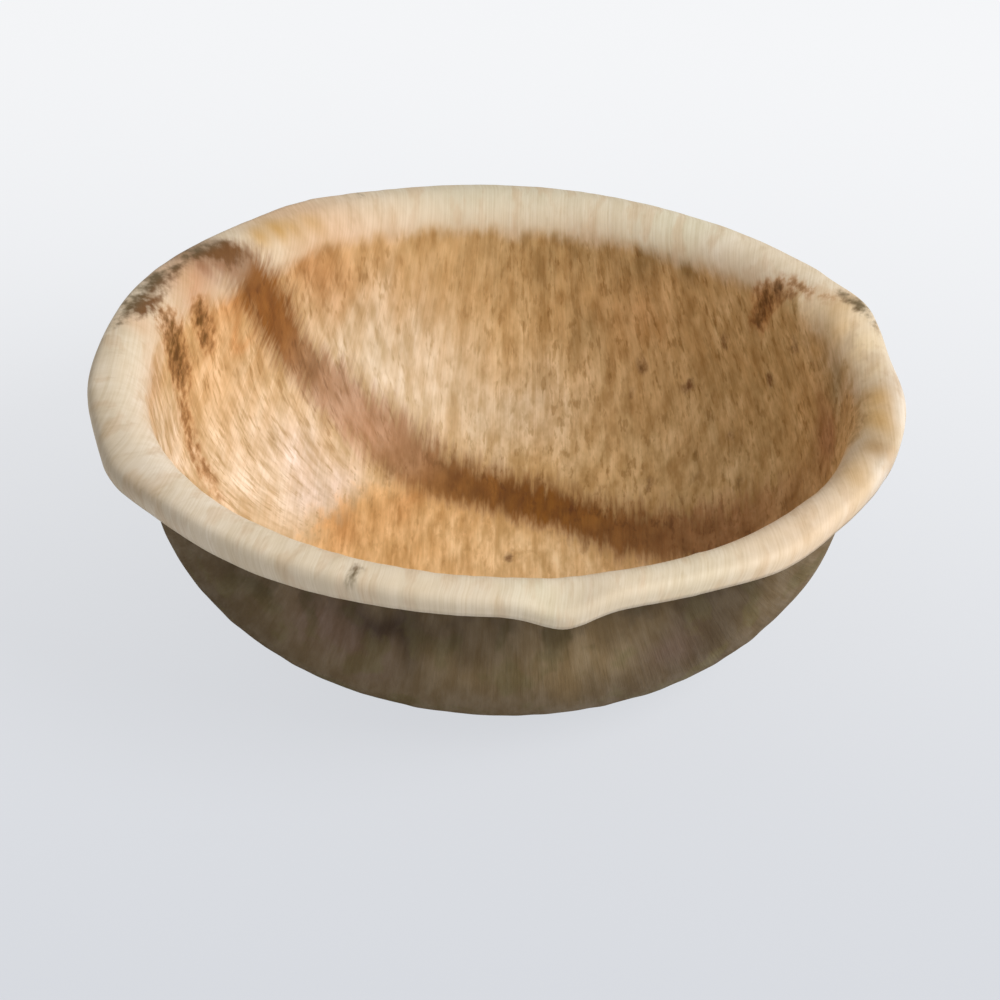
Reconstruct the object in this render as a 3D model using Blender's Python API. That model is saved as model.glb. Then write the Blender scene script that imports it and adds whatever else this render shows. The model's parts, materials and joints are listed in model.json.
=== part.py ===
"""A round bowl hot-pressed from one palm leaf sheath, as the three layers of the leaf.

Metres, +Z up. The origin is the centre of the flat base underside, and the leaf's fibres run along Y.
"""

import math

import bmesh
import bpy

# Overall sizes
RIM_DIAMETER = 0.125
HEIGHT = 0.040

# Layers of the leaf, from the inside out, and the bond line between two of them
INNER_SKIN = 0.0006
FIBRE_CORE = 0.0009
OUTER_SKIN = 0.0006
BOND = 0.0003

# Pressed shape of the inner face
CORNER_RADIUS = 0.027
WALL_DRAFT = math.radians(12.0)
ROLL_RADIUS = 0.0055
LIP_WIDTH = 0.0034
LIP_DROOP = math.radians(9.5)

# The trimmed edge lies a little to one side of the pressed hollow
TRIM_OFFSET = -0.0005

# Waves that the leaf kept in its trimmed edge: angle and spread in degrees, then outward and downward
EDGE_WAVES = (
    (8.0, 8.0, -0.0010, 0.0),
    (25.0, 7.0, 0.0013, 0.0),
    (37.0, 4.0, 0.0005, 0.0),
    (62.0, 12.0, -0.0005, 0.0),
    (121.0, 8.0, 0.0013, 0.0),
    (173.0, 12.0, -0.0008, 0.0),
    (209.0, 8.0, 0.0015, 0.0),
    (267.0, 9.0, 0.0, 0.0006),
    (280.0, 5.0, 0.0009, 0.0018),
    (312.0, 8.0, 0.0012, 0.0),
)

# Faceting
AROUND = 72
CORNER_STEPS = 6
ROLL_STEPS = 6
HEM_STEPS = 2
SHARP_ANGLE = math.radians(35.0)

# Worked out from the sizes above
WALL = INNER_SKIN + BOND + FIBRE_CORE + BOND + OUTER_SKIN
CORE_DEPTH = INNER_SKIN + BOND
OUTER_DEPTH = CORE_DEPTH + FIBRE_CORE + BOND
WALL_ANGLE = math.pi / 2 - WALL_DRAFT
CREST_RADIUS = RIM_DIAMETER / 2 - LIP_WIDTH
ROLL_START = CREST_RADIUS - ROLL_RADIUS * math.sin(WALL_ANGLE)
ROLL_CENTRE_Z = HEIGHT - ROLL_RADIUS
CORNER_CENTRE_Z = WALL + CORNER_RADIUS
HEM_BEND = INNER_SKIN + BOND
LIP_RUN = (LIP_WIDTH - ROLL_RADIUS * math.sin(LIP_DROOP)) / math.cos(LIP_DROOP)


def floor_radius():
    """Radius of the flat floor that lets the straight wall meet both the corner arc and the rim's roll."""
    roll_start_z = ROLL_CENTRE_Z + ROLL_RADIUS * math.cos(WALL_ANGLE)
    corner_end_z = CORNER_CENTRE_Z - CORNER_RADIUS * math.cos(WALL_ANGLE)
    straight = (roll_start_z - corner_end_z) / math.sin(WALL_ANGLE)
    return ROLL_START - straight * math.cos(WALL_ANGLE) - CORNER_RADIUS * math.sin(WALL_ANGLE)


def lip_point(run, depth):
    """Point (r, z) of the lip, at this run past the roll and this depth under the top face."""
    start_r = CREST_RADIUS + ROLL_RADIUS * math.sin(LIP_DROOP)
    start_z = ROLL_CENTRE_Z + ROLL_RADIUS * math.cos(LIP_DROOP)
    r = start_r + run * math.cos(LIP_DROOP) - depth * math.sin(LIP_DROOP)
    z = start_z - run * math.sin(LIP_DROOP) - depth * math.cos(LIP_DROOP)
    return r, z


def pressed_face(depth):
    """Points (r, z) of the face at this depth in the leaf, from the floor's edge to the hem's bend."""
    points = []
    floor = floor_radius()
    corner = CORNER_RADIUS + depth
    for step in range(CORNER_STEPS + 1):
        heading = WALL_ANGLE * step / CORNER_STEPS
        r = floor + corner * math.sin(heading)
        points.append((r, CORNER_CENTRE_Z - corner * math.cos(heading)))
    roll = ROLL_RADIUS - depth
    for step in range(ROLL_STEPS + 1):
        heading = WALL_ANGLE - (WALL_ANGLE + LIP_DROOP) * step / ROLL_STEPS
        r = CREST_RADIUS - roll * math.sin(heading)
        points.append((r, ROLL_CENTRE_Z + roll * math.cos(heading)))
    points.append(lip_point(LIP_RUN - HEM_BEND, depth))
    return points


def hem_bend(radius):
    """Points (r, z) of a quarter turn of the hem over the trimmed edge, at this radius."""
    points = []
    for step in range(1, HEM_STEPS + 1):
        turn = math.pi / 2 * step / HEM_STEPS
        run = LIP_RUN - HEM_BEND + radius * math.sin(turn)
        points.append(lip_point(run, HEM_BEND - radius * math.cos(turn)))
    return points


def edge_wave(angle):
    """Outward and downward shift of the trimmed edge at this angle."""
    outward = 0.0
    downward = 0.0
    for centre, spread, out, down in EDGE_WAVES:
        away = (math.degrees(angle) - centre + 180.0) % 360.0 - 180.0
        bell = math.exp(-((away / spread) ** 2))
        outward += out * bell
        downward += down * bell
    return outward, downward


def rim_share(radius, start):
    """S-curve that rises from 0 at the start radius to 1 at the trimmed edge."""
    along = min(max((radius - start) / (RIM_DIAMETER / 2 - start), 0.0), 1.0)
    return along * along * (3.0 - 2.0 * along)


def shape_lip(point):
    """Moves a point of the rim to the leaf's outline: outwards past the crest, down past the roll's start."""
    radius = math.hypot(point.x, point.y)
    angle = math.atan2(point.y, point.x)
    share = rim_share(radius, CREST_RADIUS)
    outward, downward = edge_wave(angle)
    point.z -= rim_share(radius, ROLL_START) * downward
    radius += share * outward
    point.x = radius * math.cos(angle) + share * TRIM_OFFSET
    point.y = radius * math.sin(angle)


def leaf_material(name, colour, roughness):
    material = bpy.data.materials.new(name)
    material.use_nodes = True
    shader = material.node_tree.nodes["Principled BSDF"]
    shader.inputs["Base Color"].default_value = (*colour, 1.0)
    shader.inputs["Roughness"].default_value = roughness
    shader.inputs["Metallic"].default_value = 0.0
    material.diffuse_color = (*colour, 1.0)
    return material


def turned_layer(name, section, material, parent):
    """Turns a cross-section round Z, closes both floors with flat discs and gives the lip its outline.

    The section runs from one floor's edge out to the rim and back to the other floor's edge.
    """
    shape = bmesh.new()
    points = [shape.verts.new((r, 0.0, z)) for r, z in section]
    edges = [shape.edges.new(pair) for pair in zip(points, points[1:])]
    bmesh.ops.spin(
        shape,
        geom=points + edges,
        cent=(0.0, 0.0, 0.0),
        axis=(0.0, 0.0, 1.0),
        angle=math.tau,
        steps=AROUND,
        use_merge=True,
    )
    open_edges = [edge for edge in shape.edges if edge.is_boundary]
    bmesh.ops.holes_fill(shape, edges=open_edges, sides=AROUND)
    for vertex in shape.verts:
        shape_lip(vertex.co)
    # The shorter diagonal is the same one in every layer, so the waves keep the layers apart
    bmesh.ops.triangulate(shape, faces=shape.faces, quad_method="SHORT_EDGE", ngon_method="BEAUTY")
    bmesh.ops.recalc_face_normals(shape, faces=shape.faces)
    mesh = bpy.data.meshes.new(name)
    shape.to_mesh(mesh)
    shape.free()
    mesh.shade_smooth()
    mesh.set_sharp_from_angle(angle=SHARP_ANGLE)
    mesh.materials.append(material)
    layer = bpy.data.objects.new(name, mesh)
    layer.parent = parent
    bpy.context.scene.collection.objects.link(layer)
    return layer


def inner_skin(parent):
    """Pale skin: the inside of the bowl, the rolled rim and the hem over the trimmed edge."""
    hem_outside = hem_bend(HEM_BEND) + [lip_point(LIP_RUN, WALL)]
    hem_inside = [lip_point(LIP_RUN - INNER_SKIN, WALL)] + hem_bend(BOND)[::-1]
    section = pressed_face(0.0) + hem_outside + hem_inside + pressed_face(INNER_SKIN)[::-1]
    material = leaf_material("pale_leaf", (0.66, 0.48, 0.30), 0.62)
    return turned_layer("inner_skin", section, material, parent)


def fibre_core(parent):
    """Mat of fibres in dry pith, sealed between the skins."""
    section = pressed_face(CORE_DEPTH) + pressed_face(CORE_DEPTH + FIBRE_CORE)[::-1]
    material = leaf_material("leaf_fibre", (0.50, 0.34, 0.19), 0.85)
    return turned_layer("fibre_core", section, material, parent)


def outer_skin(parent):
    """Dark weathered skin, with the flat base."""
    section = pressed_face(OUTER_DEPTH) + pressed_face(OUTER_DEPTH + OUTER_SKIN)[::-1]
    material = leaf_material("weathered_leaf", (0.125, 0.088, 0.060), 0.75)
    return turned_layer("outer_skin", section, material, parent)


def main():
    for item in list(bpy.data.objects):
        bpy.data.objects.remove(item, do_unlink=True)
    bowl = bpy.data.objects.new("bowl", None)
    bpy.context.scene.collection.objects.link(bowl)
    inner_skin(bowl)
    fibre_core(bowl)
    outer_skin(bowl)
    bpy.context.view_layer.update()
    print(f"flat floor {2000 * floor_radius():.1f} mm across, wall {1000 * WALL:.1f} mm thick")


main()
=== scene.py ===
# %% [markdown]
# # A bowl pressed from one palm leaf
# When an areca palm sheds a leaf, the broad sheath at its foot dries into a stiff sheet with a pale inside,
# a fibrous middle and a dark weathered outside. Wetted and squeezed in a hot die, that sheet becomes a
# bowl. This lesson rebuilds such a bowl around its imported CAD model. Every surface is a numpy function of
# two parameters, and every finish is a node material that reads places on the flat leaf.

# %% Load the frame
import json

import bpy
import numpy as np
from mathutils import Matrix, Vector


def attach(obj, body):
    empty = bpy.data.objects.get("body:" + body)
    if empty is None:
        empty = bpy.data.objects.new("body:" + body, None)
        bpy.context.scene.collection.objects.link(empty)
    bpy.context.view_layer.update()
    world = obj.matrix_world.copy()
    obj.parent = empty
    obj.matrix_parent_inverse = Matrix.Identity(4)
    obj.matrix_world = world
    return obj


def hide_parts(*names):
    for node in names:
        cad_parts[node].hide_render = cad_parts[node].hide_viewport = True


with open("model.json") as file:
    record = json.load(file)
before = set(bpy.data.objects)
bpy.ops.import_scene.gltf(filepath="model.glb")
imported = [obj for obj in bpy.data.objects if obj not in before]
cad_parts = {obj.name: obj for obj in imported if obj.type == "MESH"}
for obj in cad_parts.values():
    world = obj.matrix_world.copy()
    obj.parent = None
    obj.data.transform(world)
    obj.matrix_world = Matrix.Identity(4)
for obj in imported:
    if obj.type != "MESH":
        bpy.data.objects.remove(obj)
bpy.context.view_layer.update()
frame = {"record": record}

# %% [markdown]
# ## Sizes of the pressed leaf
# The leaf's thickness is the height of the inner floor over the table, so it comes from the frame. The
# other sizes are those of the die that pressed the sheet: a rounded corner, a steep wall, a roll over the
# crest and a lip that droops a little. The skins are thin, and the fibre fills what is left between them.
# Sizes of the bowl are in metres, as Blender wants them. Places on the flat leaf are in millimetres.

# %% Sizes
MM = 0.001
mounts = {mount["name"]: mount for mount in frame["record"]["mounts"]}
WALL = mounts["inner_floor"]["pos_m"][2]
HEIGHT = 40.0 * MM
RIM_RADIUS = 62.5 * MM
LIP_WIDTH = 3.4 * MM
CREST_RADIUS = RIM_RADIUS - LIP_WIDTH
CORNER_RADIUS = 27.0 * MM
ROLL_RADIUS = 5.5 * MM
EDGE_RADIUS = 1.3 * MM
SKIN = 0.6 * MM
BOND = 0.3 * MM
WALL_ANGLE = np.radians(78.0)
LIP_DROOP = np.radians(9.5)

# %% [markdown]
# ## The pressed profile
# Cut through, the bowl shows a flat floor, a round corner, a straight wall, a rolled rim and a hem. That
# line could be drawn as a curve with a handle at each bend. Here it is a walk from the middle of the floor
# to the end of the hem: the walker goes straight, turns steadily along each arc, and the path is the
# running sum of small steps. Arcs and straights then meet without a kink, and each place is known by its
# run along the leaf, which the grain needs later.

# %% The profile as a walk
WALK_POINTS = 8001
TURN_UP = CORNER_RADIUS * WALL_ANGLE
TURN_OVER = ROLL_RADIUS * (WALL_ANGLE + LIP_DROOP)
ROLL_START_R = CREST_RADIUS - ROLL_RADIUS * np.sin(WALL_ANGLE)
ROLL_START_Z = HEIGHT - ROLL_RADIUS * (1.0 - np.cos(WALL_ANGLE))
CORNER_END_Z = WALL + CORNER_RADIUS * (1.0 - np.cos(WALL_ANGLE))
STRAIGHT = (ROLL_START_Z - CORNER_END_Z) / np.sin(WALL_ANGLE)
FLOOR = ROLL_START_R - STRAIGHT * np.cos(WALL_ANGLE) - CORNER_RADIUS * np.sin(WALL_ANGLE)
LIP_RUN = (LIP_WIDTH - ROLL_RADIUS * np.sin(LIP_DROOP)) / np.cos(LIP_DROOP) - EDGE_RADIUS
EDGE_TURN = EDGE_RADIUS * np.pi / 2
HEM_RUN = WALL - EDGE_RADIUS

legs = np.array([FLOOR, TURN_UP, STRAIGHT, TURN_OVER, LIP_RUN, EDGE_TURN, HEM_RUN])
run_marks = np.concatenate([[0.0], np.cumsum(legs)])
down = -LIP_DROOP - np.pi / 2
heading_marks = np.array([0.0, 0.0, WALL_ANGLE, WALL_ANGLE, -LIP_DROOP, -LIP_DROOP, down, down])
CORNER_END, ROLL_START, LIP_END, HEM_END = run_marks[[2, 3, 5, 7]]
CREST_RUN = ROLL_START + ROLL_RADIUS * WALL_ANGLE

walk = np.linspace(0.0, HEM_END, WALK_POINTS)
walk_heading = np.interp(walk, run_marks, heading_marks)
step = walk[1] - walk[0]
middle = (walk_heading[1:] + walk_heading[:-1]) / 2
walk_r = np.concatenate([[0.0], np.cumsum(np.cos(middle) * step)])
walk_z = np.concatenate([[0.0], np.cumsum(np.sin(middle) * step)]) + WALL
print(f"flat floor {2 * FLOOR / MM:.1f} mm across, crest at {walk_z.max() / MM:.2f} mm, ", end="")
print(f"{HEM_END / MM:.1f} mm of leaf from the middle to the hem's end")

# %% [markdown]
# ## Soft noise
# No two leaves press alike. The wall keeps soft dents, the fibres stand out as ribs, and both change from
# place to place. A random number at each vertex would look like sandpaper. Here the noise is a lattice of
# random heights, blended smoothly between its corners, so it has a size that can be chosen. Each use has
# its own seed and comes out the same on every run.

# %% Soft noise
LATTICE = 256


def s_curve(share):
    """Three times the square less twice the cube: 0 to 1, level at both ends."""
    return share * share * (3.0 - 2.0 * share)


def smooth_share(value, low, high):
    """S-curve that is 0 up to low and 1 from high on."""
    return s_curve(np.clip((value - low) / (high - low), 0.0, 1.0))


def fading(value, low, high):
    """S-curve that is 1 up to low and 0 from high on."""
    return 1.0 - smooth_share(value, low, high)


def lattice_noise(x, y, seed):
    """Smooth noise from -1 to 1: random heights on a square lattice, blended between corners by S-curves."""
    heights = np.random.default_rng(seed).uniform(-1.0, 1.0, (LATTICE, LATTICE))
    column = np.floor(x).astype(int)
    row = np.floor(y).astype(int)
    across = s_curve(x - column)
    along = s_curve(y - row)
    west, east = column % LATTICE, (column + 1) % LATTICE
    south, north = row % LATTICE, (row + 1) % LATTICE
    low = heights[west, south] * (1.0 - across) + heights[east, south] * across
    high = heights[west, north] * (1.0 - across) + heights[east, north] * across
    return low * (1.0 - along) + high * along


def leaf_noise(across, along, pitch, length, shift, seed):
    """Noise stretched over the leaf: the place over a pitch across and a length along, moved by a shift."""
    return lattice_noise(across / pitch + shift, along / length + shift, seed)


sample = lattice_noise(np.linspace(0.0, 99.0, 1000), np.zeros(1000), seed=1)
print(f"a line through the noise goes from {sample.min():.2f} to {sample.max():.2f}")

# %% [markdown]
# ## Waves of the trimmed edge
# The leaf springs back unevenly after it is pressed and trimmed. Its edge waves in and out, one spot at the
# front is pulled down, and the hem is longer in two places. An outline drawn by hand would need many
# points. Each wave is a bell curve at its own angle instead. They are the waves of the CAD solids, apart
# from the front, where the pull is shaped a little more finely.

# %% Waves of the trimmed edge
TRIM_OFFSET = -0.5 * MM
# Angle and spread in degrees, then the shift or the length in millimetres
OUT_WAVES = (
    (8.0, 8.0, -1.0),
    (25.0, 7.0, 1.3),
    (37.0, 4.0, 0.5),
    (62.0, 12.0, -0.5),
    (121.0, 8.0, 1.3),
    (173.0, 12.0, -0.8),
    (209.0, 8.0, 1.5),
    (279.8, 4.9, 0.9),
    (312.0, 8.0, 1.2),
)
DOWN_WAVES = (
    (267.0, 9.0, 0.3),
    (279.8, 4.9, 2.0),
)
LONG_HEMS = (
    (236.0, 26.0, 1.1),
    (305.0, 22.0, 0.5),
)


def bells_round(degrees, bells):
    """Sum of bell curves round the bowl, each from its angle, its spread and its height."""
    total = np.zeros_like(degrees)
    for centre, spread, height in bells:
        away = (degrees - centre + 180.0) % 360.0 - 180.0
        total = total + height * np.exp(-((away / spread) ** 2))
    return total


edge = bells_round(np.arange(360.0), OUT_WAVES)
print(f"the edge goes in by {-edge.min():.2f} mm and out by {edge.max():.2f} mm")

# %% [markdown]
# ## Pleats and a hooked dent
# A flat sheet has too much width for a round die, so it folds. Two pleats run down the left wall, and at
# the right a hooked dent goes round a small bulge under the rim. They could be sculpted. A route of a few
# points, each with a half-width and a strength, says the same in a few lines, and its field serves the
# shape and the colour.

# %% Pleats and dent
# Places across and along the flat leaf and half-widths in millimetres, then a strength
SIDE_PLEAT = (
    (-73.0, 23.0, 4.0, 0.25),
    (-69.4, 21.0, 5.2, 0.95),
    (-65.0, 19.4, 5.0, 0.95),
    (-61.5, 17.0, 3.8, 0.5),
    (-54.0, 12.0, 3.4, 0.5),
    (-49.8, 10.0, 3.2, 0.5),
    (-42.0, 5.0, 2.6, 0.1),
)
SHORT_PLEAT = (
    (-66.2, 33.0, 2.6, 0.3),
    (-63.6, 32.2, 3.6, 0.95),
    (-60.4, 31.2, 3.4, 0.75),
    (-57.6, 30.4, 2.4, 0.15),
)
HOOK = (
    (52.6, 42.0, 2.2, 0.2),
    (54.4, 44.2, 3.2, 0.85),
    (56.2, 46.1, 3.2, 0.88),
    (59.6, 45.4, 3.2, 0.85),
    (62.4, 44.6, 2.8, 0.6),
    (66.5, 41.0, 2.4, 0.36),
    (72.0, 35.4, 2.2, 0.25),
)
BULGE = (62.5, 39.5, 4.5, 3.2, 1.0)


def bell_patch(across, along, patch):
    """Bell-shaped patch from its place, its reach across and along the leaf, and its strength."""
    at_across, at_along, reach_across, reach_along, strength = patch
    square = ((across - at_across) / reach_across) ** 2 + ((along - at_along) / reach_along) ** 2
    return strength * np.exp(-square)


def soft_stroke(across, along, route):
    """Stroke along a route of points: a bell of the distance to each leg, and the strongest leg counts.

    The half-width and the strength change evenly along a leg.
    """
    field = np.zeros_like(across)
    for start, end in zip(route[:-1], route[1:]):
        leg = np.subtract(end, start)
        beside = (across - start[0]) * leg[0] + (along - start[1]) * leg[1]
        share = np.clip(beside / (leg[0] ** 2 + leg[1] ** 2), 0.0, 1.0)
        away = np.hypot(across - start[0] - share * leg[0], along - start[1] - share * leg[1])
        bell = np.exp(-((away / (start[2] + share * leg[2])) ** 2))
        field = np.maximum(field, (start[3] + share * leg[3]) * bell)
    return field


def strongest_stroke(across, along, *routes):
    """The strongest of several strokes at each place."""
    return np.max([soft_stroke(across, along, route) for route in routes], axis=0)


for title, route in (("side pleat", SIDE_PLEAT), ("short pleat", SHORT_PLEAT), ("hooked dent", HOOK)):
    places = np.array(route)[:, :2]
    print(f"{title}: {np.hypot(*np.diff(places, axis=0).T).sum():.0f} mm long")

# %% [markdown]
# ## From the flat leaf to the bowl
# Pressing carries each point of the flat sheet to a place in the bowl. A modifier could bend a flat mesh,
# but a formula gives every layer the same bend: the run from the centre says where on the profile a point
# is, the angle turns it round the middle, and the depth goes square into the leaf. Dents and pleats only
# add to the depth, so all layers share them and keep their gaps.

# %% From flat leaf to bowl
DENT_DEPTH = 0.22 * MM
DENT_PITCH = 17.0
PLEAT_DEPTH = 0.22 * MM
HOOK_DEPTH = 0.5 * MM
PLEATS_FADE = CREST_RUN - 3.0 * MM
PLEATS_END = CREST_RUN + 1.0 * MM


def flat_place(angle, run):
    """Place on the flat leaf, across and along in millimetres, from the angle and the run from the centre."""
    return run * np.cos(angle) / MM, run * np.sin(angle) / MM


def wall_share(run):
    """1 on the wall, with S-curves down to 0 round the corner and over the crest."""
    return smooth_share(run, FLOOR, CORNER_END) * fading(run, ROLL_START, CREST_RUN)


def pressed_depth(angle, run):
    """Depth left by pressing: noise on the wall, and the strokes of pleats and hook up to the crest."""
    across, along = flat_place(angle, run)
    dents = leaf_noise(across, along, DENT_PITCH, DENT_PITCH, shift=40.0, seed=3)
    pleats = strongest_stroke(across, along, SIDE_PLEAT, SHORT_PLEAT)
    hooked = soft_stroke(across, along, HOOK) - bell_patch(across, along, BULGE)
    folds = (PLEAT_DEPTH * pleats + HOOK_DEPTH * hooked) * fading(run, PLEATS_FADE, PLEATS_END)
    return DENT_DEPTH * dents * wall_share(run) + folds


def leaf_point(angle, run, depth):
    """Place in the bowl of a point of the flat leaf, from its angle, its run from the centre and its depth.

    The walk gives radius, height and heading at the run. Depth moves the point square to the heading, into
    the leaf. Waves move the rim outwards, from the crest on, and downwards, from the start of the roll on.
    """
    heading = np.interp(run, run_marks, heading_marks)
    depth = depth + pressed_depth(angle, run)
    radius = np.interp(run, walk, walk_r) + depth * np.sin(heading)
    height = np.interp(run, walk, walk_z) - depth * np.cos(heading)
    degrees = np.degrees(angle)
    share = smooth_share(radius, CREST_RADIUS, RIM_RADIUS)
    drop = smooth_share(radius, ROLL_START_R, RIM_RADIUS) * bells_round(degrees, DOWN_WAVES)
    drop = drop + smooth_share(run, LIP_END, HEM_END) * bells_round(degrees, LONG_HEMS)
    radius = radius + share * bells_round(degrees, OUT_WAVES) * MM
    x = radius * np.cos(angle) + share * TRIM_OFFSET
    y = radius * np.sin(angle)
    return np.stack([x, y, height - drop * MM], axis=-1)


front = leaf_point(np.radians([280.0]), np.array([LIP_END]), np.zeros(1))[0] / MM
print(f"the lip ends at {front[0]:.1f}, {front[1]:.1f}, {front[2]:.1f} mm where the front is pulled down")

# %% [markdown]
# ## From a grid to a closed skin
# Each layer of the leaf is one closed skin: out along its upper face, round its edge at the rim and back
# along its lower face. Spinning a profile would make it too, but not with waves and ribs. On a grid of
# angle by place along that line it is one function, and only the two middles need care, where all angles
# meet in one vertex. Each vertex also keeps its place on the flat leaf, which the materials read.

# %% Closed skins from a grid
AROUND = 640
ANGLES = np.linspace(0.0, 2.0 * np.pi, AROUND, endpoint=False)


def layer_line(upper_depth, lower_depth, end, upper_rows, lower_rows):
    """Run and depth along a layer's section: out on the upper face to its end, and back on the lower one."""
    run = np.concatenate([np.linspace(0.0, end, upper_rows), np.linspace(end, 0.0, lower_rows)])
    depth = np.concatenate([np.full(upper_rows, upper_depth), np.full(lower_rows, lower_depth)])
    return run, depth


def grid_faces(rows, columns):
    """Quads between the rows of a grid that closes on itself, and a fan onto the middle at each end."""
    here = np.arange(columns)
    after = (here + 1) % columns
    start = np.arange(rows - 1)[:, None] * columns + 1
    corners = [start + here, start + columns + here, start + columns + after, start + after]
    quads = np.stack(corners, axis=-1)
    last = (rows - 1) * columns + 1
    first_fan = np.stack([np.zeros_like(here), 1 + here, 1 + after], axis=-1)
    last_fan = np.stack([np.full_like(here, last + columns), last + after, last + here], axis=-1)
    return quads.reshape(-1, 4).tolist() + first_fan.tolist() + last_fan.tolist()


def skin_piece(name, points, faces, place):
    """Mesh object from points and faces. Its attribute leaf keeps across, along and run for each vertex."""
    mesh = bpy.data.meshes.new(name)
    mesh.from_pydata(points.tolist(), [], faces)
    mesh.shade_smooth()
    leaf = mesh.attributes.new("leaf", "FLOAT_VECTOR", "POINT")
    leaf.data.foreach_set("vector", place.astype(np.float32).ravel())
    piece = bpy.data.objects.new(name, mesh)
    bpy.context.scene.collection.objects.link(piece)
    triangles = sum(len(polygon.vertices) - 2 for polygon in mesh.polygons)
    print(f"{name}: {len(mesh.vertices)} vertices, {triangles} triangles")
    return piece


def closed_skin(name, run, depth, relief):
    """Piece for a layer: the leaf's points over angle and section line, with a relief that lifts the faces.

    Returns the piece and the places of its vertices on the flat leaf.
    """
    inside = slice(1, -1)
    angle, run_grid = np.meshgrid(ANGLES, run[inside])
    depth_grid = np.broadcast_to(depth[inside, None], angle.shape)
    lifted = depth_grid - relief(angle, run_grid, depth_grid)
    points = leaf_point(angle, run_grid, lifted).reshape(-1, 3)
    ends = leaf_point(np.zeros(2), run[[0, -1]], depth[[0, -1]])
    points = np.concatenate([ends[:1], points, ends[1:]])
    place = np.stack([run_grid * np.cos(angle), run_grid * np.sin(angle), run_grid], axis=-1).reshape(-1, 3)
    place = np.concatenate([np.zeros((1, 3)), place, np.zeros((1, 3))])
    return skin_piece(name, points, grid_faces(len(run) - 2, AROUND), place), place


print(f"{AROUND} vertices round the bowl, {2.0 * np.pi * RIM_RADIUS / AROUND / MM:.2f} mm apart at the rim")

# %% [markdown]
# ## The pale inner skin
# The inside of the sheath is smooth to the eye, but fine ribs of fibre run through it, all one way, from
# front to back, and the die left fine creases down the wall. A bump in the material alone would vanish from
# the exported mesh, so both are in the surface. The ribs are noise stretched along the leaf, the creases
# noise stretched down the wall, and they lift the face by less than a tenth of a millimetre. Past the lip
# the skin turns down as a hem.

# %% Inner skin
FACE_ROWS = 138
HIDDEN_ROWS = 14
RIB_HEIGHT = 0.05 * MM
RIB_PITCH = 1.9
RIB_LENGTH = 34.0
CREASE_HEIGHT = 0.05 * MM
CREASES_AROUND = 128.0
CREASE_LENGTH = 26.0 * MM


def inner_relief(angle, run, depth):
    """Height of ribs and creases: two noises on the inner face, at no depth, and none on the hidden face."""
    ribs = leaf_noise(*flat_place(angle, run), RIB_PITCH, RIB_LENGTH, shift=90.0, seed=11)
    around = angle / (2.0 * np.pi) * CREASES_AROUND
    creased = lattice_noise(around + CREASES_AROUND, run / CREASE_LENGTH, seed=13)
    height = RIB_HEIGHT * ribs + CREASE_HEIGHT * creased * wall_share(run)
    return height * (depth < SKIN / 2)


line_run, line_depth = layer_line(0.0, SKIN, HEM_END, FACE_ROWS, HIDDEN_ROWS)
inner_skin, inner_place = closed_skin("inner_skin_leaf", line_run, line_depth, inner_relief)
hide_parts("inner_skin")
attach(inner_skin, "root")

# %% [markdown]
# ## The fibre core
# Between the skins lies a mat of stiff fibres in dry pith. It could be hundreds of thin rods, but it is
# sealed in and hardly shows, so it is one closed skin with fewer rows. Its faces carry the coarse strands
# that a torn edge would show, sunk below the plain face so that the gap to the skins stays.

# %% Fibre core
CORE_ROWS = 60
STRAND_HEIGHT = 0.08 * MM
STRAND_PITCH = 2.4
STRAND_LENGTH = 60.0


def core_relief(angle, run, depth):
    """Height of the strands: coarse stretched noise, from the plain face down by the strand height."""
    strands = leaf_noise(*flat_place(angle, run), STRAND_PITCH, STRAND_LENGTH, shift=70.0, seed=23)
    sunk = STRAND_HEIGHT * (strands - 1.0) / 2
    return np.where(depth < WALL / 2, sunk, -sunk)


line_run, line_depth = layer_line(SKIN + BOND, WALL - SKIN - BOND, LIP_END, CORE_ROWS, CORE_ROWS)
fibre_core = closed_skin("fibre_core_mat", line_run, line_depth, core_relief)[0]
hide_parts("fibre_core")
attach(fibre_core, "root")

# %% [markdown]
# ## The weathered outer skin
# Rain and sun have worked on the outside of the sheath, so its ribs stand out more, and wrinkles cross the
# wall where the die squeezed the leaf into a smaller circle. A cloth simulation could gather it, but noise
# round the bowl, itself shaken by finer noise, is quick and looks the same at this size. Both fade out on
# the flat base, which stands on the table.

# %% Outer skin
OUTER_RIB = 0.08 * MM
OUTER_PITCH = 2.1
WRINKLE = 0.05 * MM
WRINKLES_AROUND = 46.0
WRINKLE_LENGTH = 40.0 * MM
WANDER = 0.08
WANDER_LENGTH = 6.0 * MM


def outer_relief(angle, run, depth):
    """Ribs and wandering wrinkles on the outer face, none on the base and the hidden face.

    The outer face looks down the depth, so what lifts it is negative.
    """
    ribs = leaf_noise(*flat_place(angle, run), OUTER_PITCH, RIB_LENGTH, shift=60.0, seed=31)
    around = angle / (2.0 * np.pi) * WRINKLES_AROUND
    wander = WANDER * lattice_noise(run / WANDER_LENGTH, around, seed=37)
    wrinkles = lattice_noise(around + wander, run / WRINKLE_LENGTH, seed=41)
    worked = smooth_share(run, FLOOR, FLOOR + TURN_UP / 2) * (depth > WALL - SKIN / 2)
    return -(OUTER_RIB * ribs + WRINKLE * wrinkles) * worked


line_run, line_depth = layer_line(WALL - SKIN, WALL, LIP_END, HIDDEN_ROWS, FACE_ROWS)
outer_skin, outer_place = closed_skin("outer_skin_leaf", line_run, line_depth, outer_relief)
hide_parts("outer_skin")
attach(outer_skin, "root")

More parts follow.
